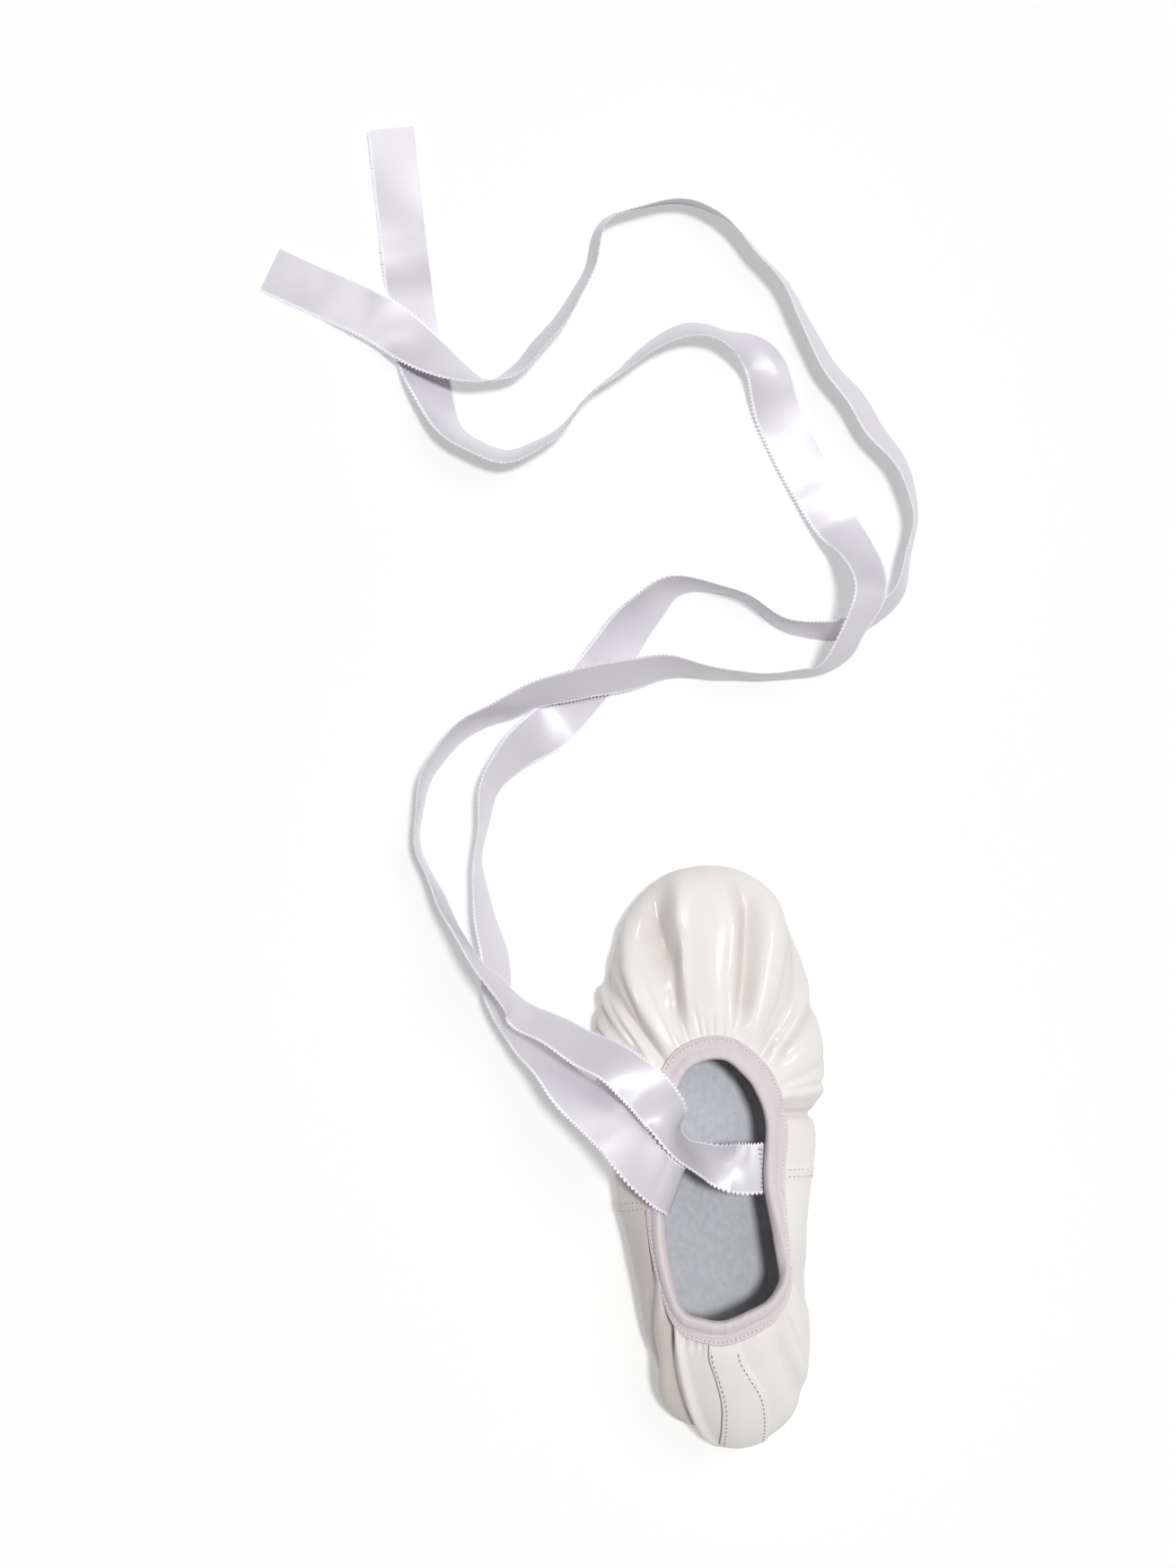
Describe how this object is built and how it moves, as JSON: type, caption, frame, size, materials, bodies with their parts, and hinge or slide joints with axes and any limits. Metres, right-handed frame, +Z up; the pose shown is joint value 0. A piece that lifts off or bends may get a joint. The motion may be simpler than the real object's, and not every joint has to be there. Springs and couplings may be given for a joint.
{
  "type": "ballet flat",
  "caption": "Soft leather ballet flat with a gathered toe, cloth-bound collar, heel strip, thin suede sole and long satin ribbons lying loose on the floor.",
  "frame": {"origin": "on the floor under the middle of the shoe's length and width, without the ribbons", "axes": "+Y from heel to toe, +Z up, +X to the hollow arch side"},
  "size_m": [0.2686, 0.5518, 0.0522],
  "materials": {
    "leather": "smooth semi-gloss",
    "suede": "napped suede",
    "lining": "brushed",
    "cloth": "woven",
    "satin": "satin sheen"
  },
  "bodies": {
    "root": {"outsole": "suede", "upper": "leather", "insole": "lining", "collar_binding": "cloth", "heel_strip": "leather", "ribbon_inner": "satin", "ribbon_outer": "satin"}
  },
  "joints": []
}
